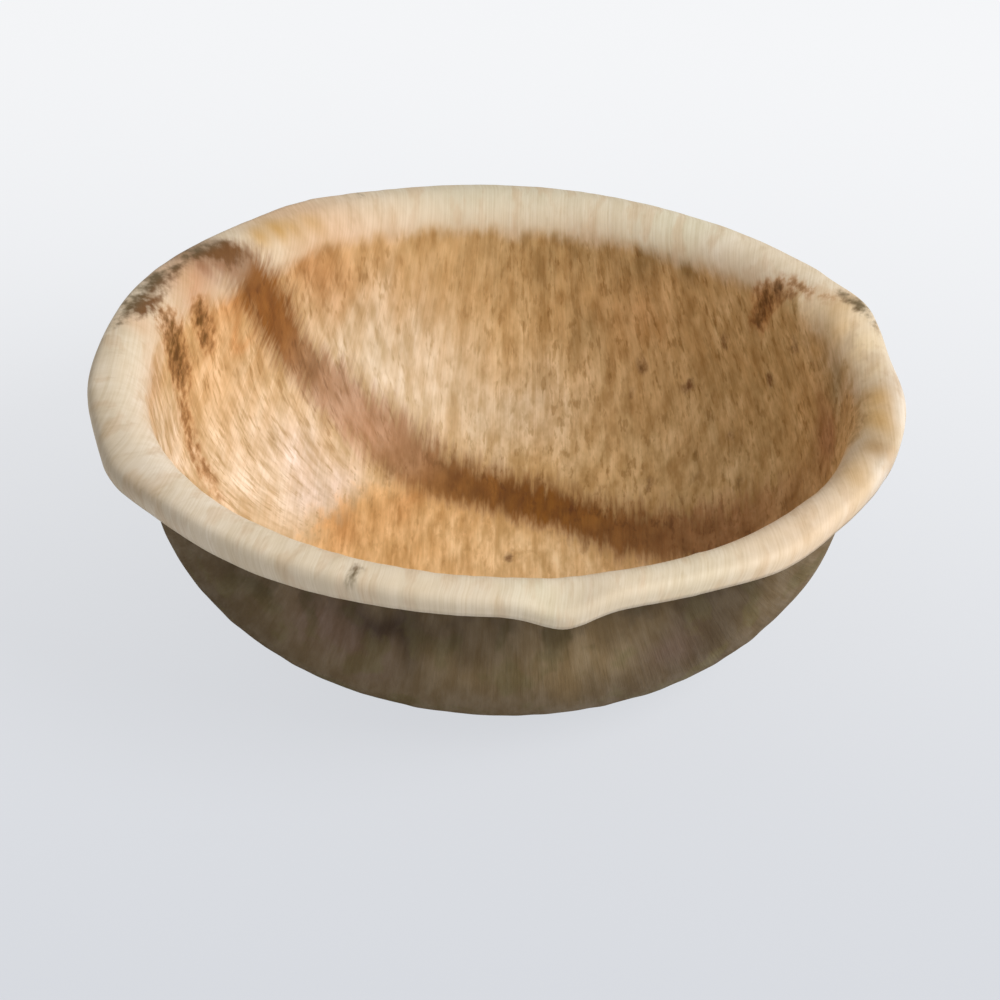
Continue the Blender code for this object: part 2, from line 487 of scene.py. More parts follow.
# %% [markdown]
# ## Marks stored on the leaf
# A fallen leaf carries its history: a brown band, folds and scorched places. Painted shade darkens the hem
# and the outer edge at the left. They could be painted on an image, but an image is as coarse as its pixels
# and needs an unwrapped mesh. Here each mark is a soft field over the flat leaf, worked out for all vertices
# at once and kept on the mesh as an attribute. The material then frays its border along the fibres. The
# first field is that of the pleats, whose folds are darkened partly with brown and partly with painted shade.

# %% Marks stored on the leaf
across_mm, along_mm, run_mm = (inner_place / MM).T


def store(piece, name, values):
    """Keeps one number, or one colour, per vertex on the mesh for the material to read."""
    if values.ndim == 1:
        attribute = piece.data.attributes.new(name, "FLOAT", "POINT")
        attribute.data.foreach_set("value", values.astype(np.float32))
    else:
        attribute = piece.data.attributes.new(name, "FLOAT_COLOR", "POINT")
        opaque = np.concatenate([values, np.ones((len(values), 1))], axis=1)
        attribute.data.foreach_set("color", opaque.astype(np.float32).ravel())
    print(f"{name} from {values.min():.2f} to {values.max():.2f}")


store(inner_skin, "pleat", strongest_stroke(across_mm, along_mm, SIDE_PLEAT, SHORT_PLEAT, HOOK))

# %% [markdown]
# ## The brown band
# A brown band bends across the leaf, from the rim at the left over the floor to the wall at the right. It
# is wide and narrow, dark and faint by turns, so a stroke with one width won't do. A line of places gives
# its middle, its two half-widths and its strength, and all are read off between the places. The floor in
# front of it is warmer than the wall, so the floor's border uses the band's middle too.

# %% Brown band
# Across the leaf, the middle's place along it, half-widths towards front and back, then strength
STAIN_BAND = np.array([
    (-60.0, 48.6, 6.2, 4.4, 0.55),
    (-55.0, 47.4, 5.2, 4.8, 0.97),
    (-48.0, 45.8, 4.6, 6.0, 1.00),
    (-42.0, 44.2, 4.6, 5.2, 0.95),
    (-36.0, 42.4, 4.4, 3.2, 0.80),
    (-28.0, 39.4, 5.2, 5.2, 0.78),
    (-15.0, 32.0, 7.0, 7.0, 0.82),
    (-6.0, 26.4, 5.8, 6.2, 0.93),
    (7.0, 21.4, 6.2, 6.8, 1.00),
    (20.0, 13.8, 6.8, 7.6, 0.95),
    (27.0, 11.6, 5.8, 7.4, 0.90),
    (38.0, 9.8, 6.4, 6.8, 0.82),
    (66.0, 4.0, 6.5, 7.0, 0.12),
])
BAND_ACROSS, BAND_MIDDLE, BAND_FRONT, BAND_BACK, BAND_STRENGTH = STAIN_BAND.T
FLOOR_TINT_END = 36.0
FLOOR_TINT_FADE = 11.0
BAND_FADE = 6.0


def stain_field(across, along):
    """1 less the distance over the half-width: 1 on the band's middle line, 0 at its border, less beyond."""
    away = along - np.interp(across, BAND_ACROSS, BAND_MIDDLE)
    behind = away / np.interp(across, BAND_ACROSS, BAND_BACK)
    before = -away / np.interp(across, BAND_ACROSS, BAND_FRONT)
    return np.clip(1.0 - np.where(away > 0.0, behind, before), -2.0, 1.0)


def floor_field(across, along, run):
    """1 on the floor in front of the band, falling evenly to 0 beyond the round border and under the band."""
    round_border = (FLOOR_TINT_END - run) / FLOOR_TINT_FADE
    band_border = 0.5 + (np.interp(across, BAND_ACROSS, BAND_MIDDLE) - along) / BAND_FADE
    return np.clip(np.minimum(round_border, band_border), 0.0, 1.0)


store(inner_skin, "stain", stain_field(across_mm, along_mm))
store(inner_skin, "stain_strength", np.interp(across_mm, BAND_ACROSS, BAND_STRENGTH))
store(inner_skin, "floor_share", floor_field(across_mm, along_mm, run_mm))

# %% [markdown]
# ## Scorched places and painted edge shade
# The edge is scorched and darkened by soot at the left and, in a smaller place, at the right. A few dark
# specks lie on the wall, the floor and the rim. Painted shade darkens the hem all round and the outer edge at
# the left and the front left. A texture of random spots would put them anywhere. Strokes and bell patches
# place each one, as they did the pleats, and the strongest mark counts.

# %% Scorched places and painted edge shade
LEFT_EDGE = (
    (-81.8, 12.0, 1.2, 0.4),
    (-77.4, 21.4, 3.0, 1.05),
    (-76.2, 27.0, 2.8, 0.74),
    (-74.4, 33.0, 2.3, 0.95),
    (-71.8, 38.0, 1.8, 0.75),
    (-69.4, 42.4, 1.3, 0.4),
    (-66.0, 46.4, 2.6, 1.05),
    (-61.2, 49.0, 3.2, 1.15),
    (-57.8, 50.6, 2.2, 0.5),
)
RIGHT_EDGE = (
    (71.0, 41.0, 1.0, 0.2),
    (74.6, 35.0, 1.6, 0.6),
    (76.2, 32.2, 1.9, 0.8),
    (78.4, 28.0, 1.2, 0.45),
    (80.6, 20.0, 1.0, 0.15),
)
# Place across and along, reach across and along, strength
SPECKS = (
    (-26.2, -78.0, 1.5, 2.2, 0.8),
    (2.5, 5.8, 0.9, 1.7, 0.8),
    (-32.5, 75.5, 0.9, 1.4, 0.8),
    (34.0, 41.3, 1.8, 1.3, 0.6),
    (52.0, 33.0, 1.2, 1.6, 0.65),
    (40.8, 29.3, 1.2, 1.8, 0.5),
    (41.2, 19.5, 1.3, 1.8, 0.5),
    (25.8, 47.6, 1.1, 2.0, 0.6),
    (23.0, 43.3, 1.0, 1.6, 0.4),
    (25.1, 25.8, 1.2, 2.0, 0.55),
    (33.3, 24.4, 1.4, 1.8, 0.45),
    (44.2, 45.0, 1.2, 1.8, 0.55),
    (61.2, 32.9, 1.5, 2.6, 0.5),
)
# Route of a painted shade along the outer edge at the left and the front left, then the painted shade of the
# hem
SHADED_EDGE = (
    (-60.0, -60.0, 1.5, 0.3),
    (-71.5, -45.0, 2.2, 0.7),
    (-78.0, -32.0, 2.0, 0.7),
    (-84.0, -10.0, 1.4, 0.45),
    (-83.6, 8.0, 1.2, 0.5),
)
HEM_SHADE = 0.15
HEM_SHADE_START = 82.3
HEM_SHADE_FULL = 85.5

edges = strongest_stroke(across_mm, along_mm, LEFT_EDGE, RIGHT_EDGE)
specks = sum(bell_patch(across_mm, along_mm, patch) for patch in SPECKS)
store(inner_skin, "scorch", np.maximum(edges, specks))
# The edge shade is painted shade: it grows towards the hem's end and along the left outer edge
hem_shade = HEM_SHADE * smooth_share(run_mm, HEM_SHADE_START, HEM_SHADE_FULL)
store(inner_skin, "edge_shade", np.maximum(hem_shade, soft_stroke(across_mm, along_mm, SHADED_EDGE)))

# %% [markdown]
# ## Where the cream of the rim starts
# The rim stayed cream, and its border to the tan wall lies a little below the crest, higher in some places
# and more blurred in others. A ring of one radius would look turned on a lathe. The field is the run past
# the start, divided by a blur, and both change round the bowl by bell curves like those of the waves.

# %% Start of the cream rim
RIM_START = 73.0
# The later start near 34 degrees leaves the wall colour on the roll's inner slope, partly for the brown
# hooked dent and partly as painted shade
# Angle and spread in degrees, then the shift and the added blur in millimetres
RIM_STARTS = (
    (-34.0, 8.0, 3.0),
    (-8.0, 11.0, 4.2),
    (34.0, 7.0, 3.6),
    (85.0, 7.0, -0.8),
    (140.0, 9.0, -1.5),
)
RIM_BLURS = (
    (16.0, 20.0, 1.4),
    (185.0, 35.0, 1.0),
)

degrees_round = np.degrees(np.arctan2(along_mm, across_mm))
rim_start = RIM_START + bells_round(degrees_round, RIM_STARTS)
rim_blur = 1.0 + bells_round(degrees_round, RIM_BLURS)
store(inner_skin, "rim_share", (run_mm - rim_start) / rim_blur)

# %% [markdown]
# ## Tints of the wall
# Under the marks the leaf is no even tan. The wall is rosy and pale at the left, orange under the rim at the
# back, and olive at the right. Mossy painted shade darkens the back wall, most of all under the rim,
# grey-green painted shade lies below the roll at the right, and painted light brightens a place beside the
# hooked dent.
# Each tint is a soft patch laid over the ground in turn, as a painter lays glazes. The patches' places are
# shaken by noise first, so that they don't look like blobs.

# %% Tints of the wall
SHAKE_ACROSS = 2.2
SHAKE_ALONG = 4.0


def srgb(red, green, blue):
    """Linear colour of a colour written as on a screen, from 0 to 255, by the screen's standard curve."""
    level = np.array([red, green, blue]) / 255.0
    return np.where(level <= 0.04045, level / 12.92, ((level + 0.055) / 1.055) ** 2.4)


def lay_tints(ground, across, along, tints, shake=1.0):
    """Lays tints over a ground colour in turn, each by its bell patch, in places shaken by noise."""
    sideways = leaf_noise(across, along, pitch=5.0, length=9.0, shift=30.0, seed=51)
    lengthways = leaf_noise(across, along, pitch=4.0, length=10.0, shift=30.0, seed=52)
    shaken_across = across + shake * SHAKE_ACROSS * sideways
    shaken_along = along + shake * SHAKE_ALONG * lengthways
    colour = np.broadcast_to(ground, (len(across), 3))
    for tint, patch in tints:
        share = bell_patch(shaken_across, shaken_along, patch)[:, None]
        colour = colour * (1.0 - share) + tint * share
    return colour


GROUND = srgb(214, 176, 121)
ORANGE_TAN = srgb(204, 150, 94)
PALE = srgb(233, 213, 182)
ROSE = srgb(237, 211, 178)
ROSE_WHITE = srgb(236, 213, 192)
HONEY = srgb(228, 182, 129)
AMBER = srgb(204, 142, 78)
BLUSH = srgb(228, 190, 152)
OLIVE = srgb(201, 172, 119)
# Mossy green: painted shade under the back rim and on the right rim, and a mossy place on the back wall
MOSS_AND_PAINTED_SHADE = srgb(138, 110, 60)
RUSSET = srgb(164, 108, 72)
# Painted shade, grey-green, on the right wall and rim below the roll
PAINTED_SHADE_GREEN = srgb(140, 124, 86)
# Painted light on the shaded inner slope of the right roll and beside the hooked dent
PAINTED_LIGHT_SHELL = srgb(252, 224, 180)
WALL_TINTS = (
    (ORANGE_TAN, (-43.0, 60.0, 16.0, 8.0, 0.85)),
    (PALE, (-22.0, 47.0, 17.0, 10.5, 0.93)),
    (PALE, (1.0, 41.0, 12.0, 7.5, 0.6)),
    (ROSE, (-38.0, 18.0, 16.0, 17.0, 0.97)),
    (HONEY, (-60.0, 32.0, 9.0, 11.0, 0.8)),
    (AMBER, (-57.5, 38.6, 5.0, 4.0, 0.75)),
    (AMBER, (-50.5, 37.2, 3.5, 2.5, 0.6)),
    (PALE, (-63.0, -5.0, 7.0, 12.0, 0.9)),
    (BLUSH, (-72.0, 2.0, 4.0, 12.0, 0.8)),
    (ROSE, (-57.0, 3.0, 8.0, 9.0, 0.85)),
    (ROSE_WHITE, (-28.5, 22.5, 6.5, 7.5, 0.95)),
    (OLIVE, (48.0, 32.0, 24.0, 24.0, 0.7)),
    (HONEY, (26.0, 53.5, 7.0, 6.0, 0.4)),
    (MOSS_AND_PAINTED_SHADE, (37.0, 63.5, 11.0, 5.0, 0.8)),
    (MOSS_AND_PAINTED_SHADE, (13.0, 68.5, 18.0, 6.0, 0.45)),
    (MOSS_AND_PAINTED_SHADE, (15.0, 54.0, 5.0, 5.0, 0.45)),
    (RUSSET, (63.0, 11.0, 4.0, 8.0, 0.7)),
    (PAINTED_SHADE_GREEN, (70.0, 16.0, 3.5, 9.0, 0.7)),
    (PAINTED_LIGHT_SHELL, (66.2, 37.2, 2.8, 3.0, 0.9)),
)
store(inner_skin, "wall_tint", lay_tints(GROUND, across_mm, along_mm, WALL_TINTS))

# %% [markdown]
# ## Tints of the floor and the band
# The floor is a warm orange, beige in the middle and amber beside the band. The band itself is a deep
# brown, rosy in the middle of the left wall and lighter where it runs out at the right. The same layering
# serves for both.

# %% Tints of the floor and the band
FLOOR_ORANGE = srgb(230, 184, 125)
BEIGE = srgb(240, 206, 154)
STAIN_BROWN = srgb(126, 76, 10)
BAND_ROSY = srgb(186, 136, 100)
BAND_TOP = srgb(147, 94, 36)
BAND_END = srgb(168, 118, 72)
FLOOR_TINTS = (
    (BEIGE, (10.0, 6.0, 15.0, 12.0, 0.6)),
    (AMBER, (-25.0, 12.0, 5.0, 8.0, 0.55)),
    (AMBER, (-14.0, 20.0, 3.0, 8.0, 0.5)),
)
STAIN_TINTS = (
    (BAND_ROSY, (-24.0, 36.5, 9.0, 8.0, 1.0)),
    (BAND_TOP, (-48.0, 45.0, 13.0, 8.0, 0.85)),
    (BAND_END, (42.0, 12.0, 14.0, 14.0, 0.8)),
)
store(inner_skin, "floor_tint", lay_tints(FLOOR_ORANGE, across_mm, along_mm, FLOOR_TINTS))
store(inner_skin, "stain_tint", lay_tints(STAIN_BROWN, across_mm, along_mm, STAIN_TINTS))

# %% [markdown]
# ## Tints of the rim
# The rim is cream, where the die was coolest, with pink and blush at the left and tan patches at the back and
# the right. Between them lie paler cream at the back, painted highlights at the left, front and right, and
# painted light on the shaded inner slope of the roll at the right, where grey-green and mossy painted shade
# lie too. The patches are small and follow the rim, so they are shaken less.

# %% Tints of the rim
RIM_SHAKE = 0.35
RIM_CREAM = srgb(230, 212, 184)
# Pale cream at the back, painted highlight on the rim at the left and the front left
RIM_PALE_AND_HIGHLIGHT = srgb(242, 226, 204)
RIM_TAN = srgb(204, 160, 94)
RIM_DUN = srgb(182, 148, 104)
GREY_CREAM = srgb(212, 202, 174)
PALE_SAGE = srgb(224, 220, 192)
PINK = srgb(206, 158, 118)
# Painted light on the shaded inner slope of the right roll
PAINTED_LIGHT_PEACH = srgb(252, 216, 164)
# Painted highlight on the right outer edge
PAINTED_HIGHLIGHT_PEARL = srgb(248, 240, 228)
RIM_TINTS = (
    (GREY_CREAM, (0.0, 82.0, 45.0, 7.0, 0.7)),
    (PINK, (-68.0, 37.0, 6.0, 9.0, 1.0)),
    (BLUSH, (-42.0, 66.0, 20.0, 9.0, 0.9)),
    (RIM_TAN, (-55.0, 56.0, 2.6, 3.0, 0.85)),
    (RIM_TAN, (-51.4, 59.6, 2.8, 2.6, 0.95)),
    (RIM_TAN, (-48.0, 62.4, 3.2, 2.2, 0.85)),
    (RIM_TAN, (-43.5, 65.6, 3.6, 2.0, 0.6)),
    (RUSSET, (-65.6, 42.2, 2.6, 2.8, 0.7)),
    (RUSSET, (-61.8, 45.4, 3.0, 2.0, 0.7)),
    (BLUSH, (60.0, -52.0, 26.0, 26.0, 0.4)),
    (RIM_PALE_AND_HIGHLIGHT, (48.0, 61.6, 4.0, 3.0, 0.7)),
    (BLUSH, (-72.0, 5.0, 3.0, 25.0, 0.7)),
    (BLUSH, (-77.4, 15.0, 3.0, 4.0, 0.75)),
    (RIM_TAN, (72.2, 34.0, 3.4, 4.5, 0.6)),
    (PAINTED_LIGHT_SHELL, (66.5, 36.0, 3.6, 4.0, 0.8)),
    (PAINTED_LIGHT_PEACH, (73.0, 25.0, 3.4, 7.0, 0.95)),
    (PAINTED_LIGHT_SHELL, (76.4, 15.0, 3.2, 7.0, 1.0)),
    (PAINTED_LIGHT_SHELL, (78.6, 6.5, 3.2, 4.5, 0.8)),
    (PAINTED_SHADE_GREEN, (70.6, 14.5, 1.8, 5.0, 0.8)),
    (PAINTED_HIGHLIGHT_PEARL, (78.6, -35.0, 3.0, 8.0, 0.9)),
    (RIM_PALE_AND_HIGHLIGHT, (-73.0, -8.0, 3.5, 18.0, 0.7)),
    (RIM_PALE_AND_HIGHLIGHT, (-68.0, -37.0, 5.0, 13.0, 0.8)),
    (RIM_PALE_AND_HIGHLIGHT, (-56.0, -55.0, 8.0, 8.0, 0.6)),
    (RIM_TAN, (79.4, -5.5, 4.0, 6.0, 0.95)),
    (RIM_TAN, (78.4, -14.0, 4.6, 8.0, 0.92)),
    (RIM_DUN, (76.4, -25.6, 4.0, 5.0, 0.95)),
    (RIM_TAN, (71.5, -34.0, 3.2, 8.0, 0.6)),
    (MOSS_AND_PAINTED_SHADE, (79.4, -21.0, 3.0, 8.0, 0.2)),
    (PAINTED_LIGHT_PEACH, (77.6, -4.0, 2.6, 8.0, 0.25)),
    (GREY_CREAM, (9.0, -81.0, 6.0, 4.0, 0.7)),
    (GREY_CREAM, (40.0, -73.0, 14.0, 9.0, 0.4)),
    (PALE_SAGE, (40.0, 69.0, 14.0, 8.0, 0.5)),
    (PAINTED_HIGHLIGHT_PEARL, (83.2, -6.0, 2.0, 17.0, 0.55)),
)
store(inner_skin, "rim_tint", lay_tints(RIM_CREAM, across_mm, along_mm, RIM_TINTS, shake=RIM_SHAKE))

# %% [markdown]
# ## Tints of the outside
# The outside is a grey bark brown with dusty and mauve places. Painted shade darkens it at the front left and
# the front right, and a painted shadow lies just under the rim at the front. It is the same layering once
# more, on the places of the outer skin's own vertices.

# %% Tints of the outside
BARK = srgb(122, 102, 73)
BARK_PALE = srgb(150, 126, 90)
# Painted shade at the front right and the front left of the outside
PAINTED_SHADE_BARK = srgb(82, 66, 44)
BARK_MAUVE = srgb(118, 93, 78)
# Painted shadow under the rim, in patches at the front here and all round in the material
PAINTED_RIM_SHADOW = srgb(54, 38, 24)
OUTER_TINTS = (
    (PAINTED_SHADE_BARK, (37.0, -50.0, 13.0, 14.0, 0.95)),
    (PAINTED_SHADE_BARK, (-46.0, -42.0, 12.0, 16.0, 0.5)),
    (PAINTED_RIM_SHADOW, (-18.0, -62.0, 9.0, 4.5, 0.9)),
    (PAINTED_RIM_SHADOW, (-6.0, -65.0, 9.0, 3.0, 0.45)),
    (BARK_PALE, (14.0, -58.0, 8.0, 6.0, 0.7)),
    (BARK_PALE, (-5.0, -60.0, 7.0, 5.0, 0.4)),
    (BARK_MAUVE, (-26.0, -56.0, 8.0, 7.0, 0.7)),
    (BARK_MAUVE, (30.0, -50.0, 5.0, 6.0, 0.5)),
)
outer_across, outer_along = (outer_place / MM).T[:2]
store(outer_skin, "outer_tint", lay_tints(BARK, outer_across, outer_along, OUTER_TINTS))

# %% [markdown]
# ## Small tools for node materials
# A node tree written out in full is hard to read, and one wired by hand can't be kept as text. These
# helpers add one node each and return its output, so that a material reads like a recipe: take this, mix in
# that where the mask says so.

# %% Node helpers


def feed(tree, source, socket):
    """Links a socket to an input, or sets the input to a plain value or a colour."""
    if isinstance(source, bpy.types.NodeSocket):
        tree.links.new(source, socket)
    elif isinstance(source, np.ndarray):
        socket.default_value = (*source.tolist(), 1.0)
    else:
        socket.default_value = source


def add_node(tree, kind, inputs=None, **settings):
    """Adds a node with its settings, and feeds its inputs by name or number."""
    made = tree.nodes.new(kind)
    for key, value in settings.items():
        setattr(made, key, value)
    for key, source in (inputs or {}).items():
        feed(tree, source, made.inputs[key])
    return made


def mix_colour(tree, share, below, above, blend="MIX"):
    """Lays one colour over another by a share."""
    inputs = {0: share, 6: below, 7: above}
    return add_node(tree, "ShaderNodeMix", inputs, data_type="RGBA", blend_type=blend).outputs[2]


def blend_values(tree, share, first, second):
    """A value that goes from the first to the second by a share."""
    return add_node(tree, "ShaderNodeMix", {0: share, 2: first, 3: second}, data_type="FLOAT").outputs[0]


def rise(tree, value, low, high, bottom=0.0, top=1.0):
    """S-curve from bottom to top as the value goes from low to high."""
    inputs = {"Value": value, "From Min": low, "From Max": high, "To Min": bottom, "To Max": top}
    made = add_node(tree, "ShaderNodeMapRange", inputs, interpolation_type="SMOOTHSTEP")
    return made.outputs["Result"]


def reckon(tree, operation, first, second):
    """One sum, product or the like of two values."""
    return add_node(tree, "ShaderNodeMath", {0: first, 1: second}, operation=operation).outputs[0]


def times(tree, first, second):
    """Product of two values."""
    return reckon(tree, "MULTIPLY", first, second)


def mark(tree, name, output="Fac"):
    """Something stored on the mesh: Fac for a number, Color for a colour, Vector for a place."""
    return add_node(tree, "ShaderNodeAttribute", attribute_name=name).outputs[output]


def frayed(tree, value, grain, amount):
    """A mask's field, pushed up and down by a grain so that its border frays."""
    return reckon(tree, "ADD", value, times(tree, reckon(tree, "SUBTRACT", grain, 0.5), amount))


def new_material(name):
    """A node material with Blender's own shader in it. Returns the material, its tree and the shader."""
    material = bpy.data.materials.new(name)
    material.use_nodes = True
    return material, material.node_tree, material.node_tree.nodes["Principled BSDF"]


def add_bump(tree, shader, height, strength, distance):
    """Tilts the shader's normal by a height, as relief too fine for the mesh would."""
    bump = add_node(tree, "ShaderNodeBump", {"Height": height, "Strength": strength, "Distance": distance})
    feed(tree, bump.outputs["Normal"], shader.inputs["Normal"])


# %% [markdown]
# ## Fibre streaks
# Fibres show as streaks on every layer. A wave texture would draw them too evenly, so they are noise,
# squeezed across the leaf and stretched along it. All layers have them, each at its own pitch, so the
# streaks are a node group with the leaf's place, the pitch and the length as inputs. Its frame and its
# noise are functions of their own, because the next group has them too.

# %% Fibre streak group


def grain_group(name):
    """Node group with the leaf's place, a pitch and a length as inputs and a grain as output.

    Returns the group, its inputs, and the place's across, along and run as X, Y and Z.
    """
    group = bpy.data.node_groups.new(name, "ShaderNodeTree")
    for label, kind in (("Leaf", "Vector"), ("Pitch", "Float"), ("Length", "Float")):
        group.interface.new_socket(label, in_out="INPUT", socket_type="NodeSocket" + kind)
    group.interface.new_socket("Grain", in_out="OUTPUT", socket_type="NodeSocketFloat")
    entry = group.nodes.new("NodeGroupInput").outputs
    return group, entry, add_node(group, "ShaderNodeSeparateXYZ", {0: entry["Leaf"]}).outputs


def end_grain(group, place, detail, roughness, dimensions):
    """Ends a grain group: noise at a place, spread by an S-curve to go from 0 to 1."""
    inputs = {"Vector": place, "Scale": 1.0, "Detail": detail, "Roughness": roughness}
    noise = add_node(group, "ShaderNodeTexNoise", inputs, noise_dimensions=dimensions)
    leave = group.nodes.new("NodeGroupOutput")
    feed(group, rise(group, noise.outputs["Fac"], 0.25, 0.75), leave.inputs["Grain"])
    return group


def fibre_streak_group():
    """Node group: flat noise on the leaf's place, divided by the pitch across and by the length along."""
    group, entry, place = grain_group("fibre streaks")
    across = reckon(group, "DIVIDE", place["X"], entry["Pitch"])
    along = reckon(group, "DIVIDE", place["Y"], entry["Length"])
    stretched = add_node(group, "ShaderNodeCombineXYZ", {"X": across, "Y": along}).outputs[0]
    return end_grain(group, stretched, detail=3.0, roughness=0.55, dimensions="2D")


STREAKS = fibre_streak_group()
print("fibre streaks:", len(STREAKS.nodes), "nodes")

# %% [markdown]
# ## Press creases
# On the steep wall the sheet was gathered, and its grain turns with the fine creases that run down the
# wall. Noise on the angle would break where the angle starts anew. So the leaf's place is pulled onto one
# ring, which gives the way round without a seam, and the run from the centre gives the way down.

# %% Press crease group


def press_crease_group():
    """Node group: noise on the place pulled to a ring, over the pitch, and on the run, over the length."""
    group, entry, place = grain_group("press creases")
    ring = reckon(group, "DIVIDE", CREST_RADIUS, times(group, place["Z"], entry["Pitch"]))
    down_wall = reckon(group, "DIVIDE", place["Z"], entry["Length"])
    inputs = {"X": times(group, place["X"], ring), "Y": times(group, place["Y"], ring), "Z": down_wall}
    pulled = add_node(group, "ShaderNodeCombineXYZ", inputs).outputs[0]
    return end_grain(group, pulled, detail=2.0, roughness=0.5, dimensions="3D")


CREASES = press_crease_group()
print("press creases:", len(CREASES.nodes), "nodes")

# %% [markdown]
# ## Grain in a material
# A grain is placed with its own pitch and length, and then darkens and lightens a colour. Multiplying all
# three channels alike would only make a dark fibre grey. On the leaf, dark fibres are browner and light
# ones paler, so blue follows the shade most and red least.

# %% Grain in a material
GRAIN_WARMTH = np.array([0.78, 1.0, 1.5])


def place_grain(tree, group, leaf, pitch, length):
    """Places a grain group in a material, with its pitch and length in millimetres."""
    inputs = {"Leaf": leaf, "Pitch": pitch * MM, "Length": length * MM}
    return add_node(tree, "ShaderNodeGroup", inputs, node_tree=group).outputs["Grain"]


def streaks(tree, leaf, pitch, length):
    """Streaks along the fibres."""
    return place_grain(tree, STREAKS, leaf, pitch, length)


def creases(tree, leaf, pitch, length):
    """Creases down the wall."""
    return place_grain(tree, CREASES, leaf, pitch, length)


def shade_by(tree, colour, grain, dark, light, amount=1.0):
    """Multiplies a colour by a shade from dark to light with the grain, as far as the amount says.

    Each channel's shade is the plain shade to the power of its warmth.
    """
    shade = mix_colour(tree, grain, dark**GRAIN_WARMTH, light**GRAIN_WARMTH)
    return mix_colour(tree, amount, colour, shade, blend="MULTIPLY")


print("a shade of 0.8 in red, green and blue:", (0.8**GRAIN_WARMTH).round(2))

# %% [markdown]
# ## Grains of the inner skin
# Seen close, the inner skin is a mottle of fibre and pith with short dark flecks and spots. One noise can't
# give that, so grains of several pitches and lengths lie over each other. They run along the fibres on the
# floor and at the right, and turn with the creases on the left wall, where the sheet was gathered most.

# %% Grains of the inner skin
# Pitch across and length along the grain, in millimetres
STRAIGHT_GRAINS = {
    "fray": (0.7, 6.0),
    "fibre": (0.38, 20.0),
    "cloud": (4.5, 11.0),
    "warm": (2.6, 9.0),
    "grit": (1.5, 2.4),
}
TURNED_GRAINS = {
    "mottle": (2.2, 5.0),
    "fleck": (0.85, 3.0),
    "spot": (1.7, 4.6),
}
CREASE_GRAIN = (2.8, 16.0)
FLOOR_MOTTLE = (1.9, 10.0)
# Places across, and runs from the centre, where a share is 0 and where it is 1
LEFT_SIDE = (10.0 * MM, -30.0 * MM)
STEEP_WALL = (28.0 * MM, 42.0 * MM)
FLAT_FLOOR = (34.0 * MM, 24.0 * MM)


def pale_grains(tree):
    """The inner skin's grains by name, each from 0 to 1, and the run from the centre."""
    leaf = mark(tree, "leaf", "Vector")
    place = add_node(tree, "ShaderNodeSeparateXYZ", {0: leaf}).outputs
    turned = times(tree, rise(tree, place["X"], *LEFT_SIDE), rise(tree, place["Z"], *STEEP_WALL))
    grain = {name: streaks(tree, leaf, *size) for name, size in STRAIGHT_GRAINS.items()}
    for name, size in TURNED_GRAINS.items():
        grain[name] = blend_values(tree, turned, streaks(tree, leaf, *size), creases(tree, leaf, *size))
    on_floor = rise(tree, place["Z"], *FLAT_FLOOR)
    grain["mottle"] = blend_values(tree, on_floor, grain["mottle"], streaks(tree, leaf, *FLOOR_MOTTLE))
    grain["spot"] = rise(tree, grain["spot"], 0.85, 1.0)
    grain["crease"] = creases(tree, leaf, *CREASE_GRAIN)
    grain["run"] = place["Z"]
    return grain


print("grains:", len(STRAIGHT_GRAINS), "along the fibres,", len(TURNED_GRAINS), "that turn on the wall")

# %% [markdown]
# ## Ground and marks of the inner skin
# The colours are laid in turn, as on the real leaf: the tints of wall, floor and rim, then the band, then
# the folded pleats with an amber halo, and last the scorches, brown on the wall and sooty at the edge. A
# mask with a clean border would look printed, so each field is first frayed by a grain. Where a mark is
# absent its fray is held back, or the grain alone would leave spots.

# %% Ground and marks of the inner skin
RIM_FRECKLE = srgb(206, 172, 130)
PLEAT_AMBER = srgb(198, 138, 78)
# Core of pleats and dent: partly the fold's brown, partly painted shade of the fold
PLEAT_BROWN_AND_SHADE = srgb(108, 70, 12)
SCORCH = srgb(114, 71, 22)
SOOT = srgb(102, 84, 48)
SOOTY_EDGE = (79.0 * MM, 83.0 * MM)


def lay_ground(tree, grain):
    """Tints of the wall, the floor's over them and the freckled rim's over both, by frayed shares.

    Returns the colour and the two shares.
    """
    wall_tint = mark(tree, "wall_tint", "Color")
    floor_tint = mark(tree, "floor_tint", "Color")
    rim_tint = mark(tree, "rim_tint", "Color")
    floor_share = frayed(tree, mark(tree, "floor_share"), grain["mottle"], 0.5)
    floor_share = rise(tree, floor_share, 0.2, 0.8)
    colour = mix_colour(tree, floor_share, wall_tint, floor_tint)
    rim_share = frayed(tree, mark(tree, "rim_share"), grain["cloud"], 1.6)
    rim_share = rise(tree, rim_share, -1.6, 1.9)
    freckled = rise(tree, grain["cloud"], 0.5, 1.0, top=0.4)
    rim_colour = mix_colour(tree, freckled, rim_tint, RIM_FRECKLE)
    return mix_colour(tree, rim_share, colour, rim_colour), floor_share, rim_share


def lay_band(tree, grain, colour):
    """The brown band, frayed by two grains, by its own strength."""
    field = frayed(tree, mark(tree, "stain"), grain["fray"], 0.4)
    field = frayed(tree, field, grain["mottle"], 0.5)
    share = times(tree, rise(tree, field, -0.6, 0.6), mark(tree, "stain_strength"))
    return mix_colour(tree, share, colour, mark(tree, "stain_tint", "Color"))


